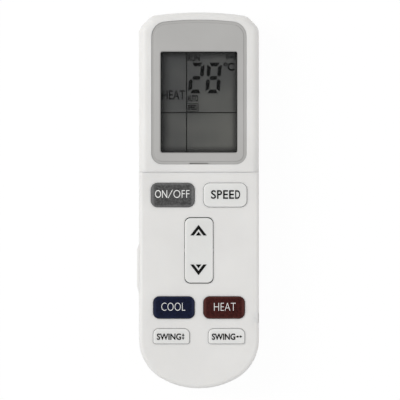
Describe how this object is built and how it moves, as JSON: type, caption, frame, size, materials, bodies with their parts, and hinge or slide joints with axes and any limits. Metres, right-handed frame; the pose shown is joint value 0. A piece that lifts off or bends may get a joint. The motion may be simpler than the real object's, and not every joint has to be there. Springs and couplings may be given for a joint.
{
  "type": "infrared remote control",
  "caption": "White handheld air-conditioner remote control with a display, rounded keys, a flip cover over the key field and a sliding battery door.",
  "frame": {"origin": "middle of the flat back, on the body's long centre line", "axes": "+X across the keys to the right, +Y towards the sending end, +Z out of the front"},
  "size_m": [0.0485, 0.1494, 0.021],
  "materials": {
    "case_white": "fine satin moulded white",
    "bezel_grey": "satin light grey",
    "lens_clear": "clear, polished",
    "lcd_grey": "dark grey liquid-crystal glass",
    "reflector_film": "satin film",
    "holder_white": "plain moulded",
    "silicone_grey": "matt silicone",
    "board_green": "solder mask",
    "resin_black": "cured resin",
    "can_metal": "plated can",
    "capacitor_sleeve": "shrink sleeve",
    "lamp_blue": "tinted epoxy",
    "infrared_dark": "dark, clear to infrared",
    "key_white": "satin white",
    "key_grey": "satin dark grey",
    "key_blue": "satin dark blue",
    "key_red": "satin dark red",
    "key_silicone": "matt light grey silicone",
    "carbon_black": "conductive carbon",
    "cell_sleeve": "printed sleeve",
    "contact_nickel": "nickel plate",
    "screw_steel": "zinc plate"
  },
  "bodies": {
    "case": {"front_shell": "case_white", "back_shell": "case_white", "display_bezel": "bezel_grey", "display_lens": "lens_clear", "lcd_panel": "lcd_grey", "lcd_reflector": "reflector_film", "lcd_holder": "holder_white", "connector_strips": "silicone_grey", "circuit_board": "board_green", "controller_chip": "resin_black", "crystal": "can_metal", "capacitor": "capacitor_sleeve", "small_components": "resin_black", "infrared_lamp": "lamp_blue", "infrared_window": "infrared_dark", "keypad_mat": "silicone_grey", "cell_left": "cell_sleeve", "cell_right": "cell_sleeve", "cell_spring_left": "contact_nickel", "cell_spring_right": "contact_nickel", "positive_contact": "contact_nickel", "negative_contact": "contact_nickel", "bridge_contact": "contact_nickel", "board_screws": "screw_steel", "case_screw": "screw_steel"},
    "flip_cover": {"flip_cover": "case_white"},
    "battery_door": {"battery_door": "case_white"},
    "temperature_rocker": {"temperature_rocker": "key_white", "temperature_rocker_pills": "carbon_black"},
    "power_key": {"power_key": "key_grey", "power_key_pill": "carbon_black"},
    "fan_speed_key": {"fan_speed_key": "key_white", "fan_speed_key_pill": "carbon_black"},
    "cool_key": {"cool_key": "key_blue", "cool_key_pill": "carbon_black"},
    "heat_key": {"heat_key": "key_red", "heat_key_pill": "carbon_black"},
    "swing_up_down_key": {"swing_up_down_key": "key_white", "swing_up_down_key_pill": "carbon_black"},
    "swing_left_right_key": {"swing_left_right_key": "key_white", "swing_left_right_key_pill": "carbon_black"},
    "mode_key": {"mode_key": "key_silicone", "mode_key_pill": "carbon_black"},
    "timer_key": {"timer_key": "key_silicone", "timer_key_pill": "carbon_black"},
    "sleep_key": {"sleep_key": "key_silicone", "sleep_key_pill": "carbon_black"},
    "clock_key": {"clock_key": "key_silicone", "clock_key_pill": "carbon_black"},
    "light_key": {"light_key": "key_silicone", "light_key_pill": "carbon_black"},
    "boost_key": {"boost_key": "key_silicone", "boost_key_pill": "carbon_black"}
  },
  "joints": [
    {"name": "flip_cover_hinge", "type": "hinge", "parent": "case", "child": "flip_cover", "pos_m": [0.02225, -0.032, 0.0187], "axis": [0, 1, 0], "range_deg": [0, 100]},
    {"name": "battery_door_slide", "type": "slide", "parent": "case", "child": "battery_door", "axis": [0, -1, 0], "range_m": [0, 0.07]},
    {"name": "temperature_rocker_tip", "type": "hinge", "parent": "case", "child": "temperature_rocker", "pos_m": [0, -0.0199, 0.0163], "axis": [1, 0, 0], "range_deg": [-4, 4], "stiffness_Nm_per_rad": 0.2},
    {"name": "power_key_press", "type": "slide", "parent": "case", "child": "power_key", "axis": [0, 0, -1], "range_m": [0, 0.0008], "stiffness_N_per_m": 400},
    {"name": "fan_speed_key_press", "type": "slide", "parent": "case", "child": "fan_speed_key", "axis": [0, 0, -1], "range_m": [0, 0.0008], "stiffness_N_per_m": 400},
    {"name": "cool_key_press", "type": "slide", "parent": "case", "child": "cool_key", "axis": [0, 0, -1], "range_m": [0, 0.0008], "stiffness_N_per_m": 400},
    {"name": "heat_key_press", "type": "slide", "parent": "case", "child": "heat_key", "axis": [0, 0, -1], "range_m": [0, 0.0008], "stiffness_N_per_m": 400},
    {"name": "swing_up_down_key_press", "type": "slide", "parent": "case", "child": "swing_up_down_key", "axis": [0, 0, -1], "range_m": [0, 0.0008], "stiffness_N_per_m": 400},
    {"name": "swing_left_right_key_press", "type": "slide", "parent": "case", "child": "swing_left_right_key", "axis": [0, 0, -1], "range_m": [0, 0.0008], "stiffness_N_per_m": 400},
    {"name": "mode_key_press", "type": "slide", "parent": "case", "child": "mode_key", "axis": [0, 0, -1], "range_m": [0, 0.0008], "stiffness_N_per_m": 400},
    {"name": "timer_key_press", "type": "slide", "parent": "case", "child": "timer_key", "axis": [0, 0, -1], "range_m": [0, 0.0008], "stiffness_N_per_m": 400},
    {"name": "sleep_key_press", "type": "slide", "parent": "case", "child": "sleep_key", "axis": [0, 0, -1], "range_m": [0, 0.0008], "stiffness_N_per_m": 400},
    {"name": "clock_key_press", "type": "slide", "parent": "case", "child": "clock_key", "axis": [0, 0, -1], "range_m": [0, 0.0008], "stiffness_N_per_m": 400},
    {"name": "light_key_press", "type": "slide", "parent": "case", "child": "light_key", "axis": [0, 0, -1], "range_m": [0, 0.0008], "stiffness_N_per_m": 400},
    {"name": "boost_key_press", "type": "slide", "parent": "case", "child": "boost_key", "axis": [0, 0, -1], "range_m": [0, 0.0008], "stiffness_N_per_m": 400}
  ]
}
